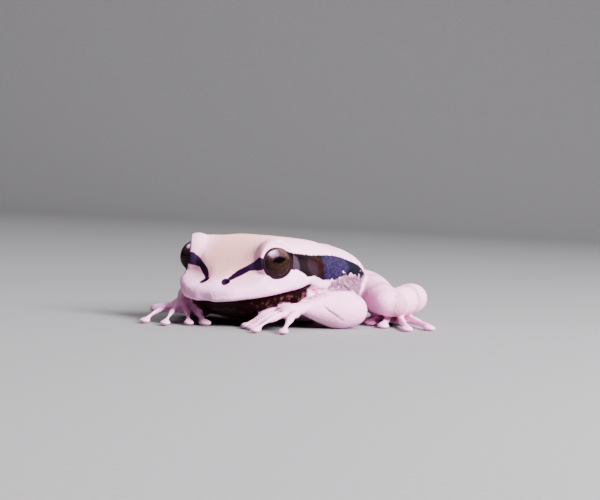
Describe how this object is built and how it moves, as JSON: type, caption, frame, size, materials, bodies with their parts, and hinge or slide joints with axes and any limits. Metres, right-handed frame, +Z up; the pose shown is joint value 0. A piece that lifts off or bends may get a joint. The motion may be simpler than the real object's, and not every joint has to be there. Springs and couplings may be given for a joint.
{
  "type": "masked tree frog",
  "caption": "Life-size still model of a masked tree frog resting low on its belly, head turned to one side, limbs folded beside the body, round discs on fingers and toes.",
  "frame": {"origin": "middle of the bounding box, on the floor that the frog rests on", "axes": "+Z up, the frog faces -Y, +X is the frog's own left side"},
  "size_m": [0.0528, 0.0618, 0.0152],
  "materials": {
    "skin": "moist, finely granular skin, pale cream pink with a dark mask",
    "eye": "wet and glossy, bronze iris with a black pupil",
    "eardrum": "thin smooth skin, dark purple brown"
  },
  "bodies": {
    "root": {"head": "skin", "lower_jaw": "skin", "torso": "skin", "eye_left": "eye", "eye_right": "eye", "eardrum_left": "eardrum", "eardrum_right": "eardrum", "upper_arm_left": "skin", "forearm_left": "skin", "hand_left": "skin", "upper_arm_right": "skin", "forearm_right": "skin", "hand_right": "skin", "thigh_left": "skin", "shank_left": "skin", "foot_left": "skin", "thigh_right": "skin", "shank_right": "skin", "foot_right": "skin"}
  },
  "joints": []
}
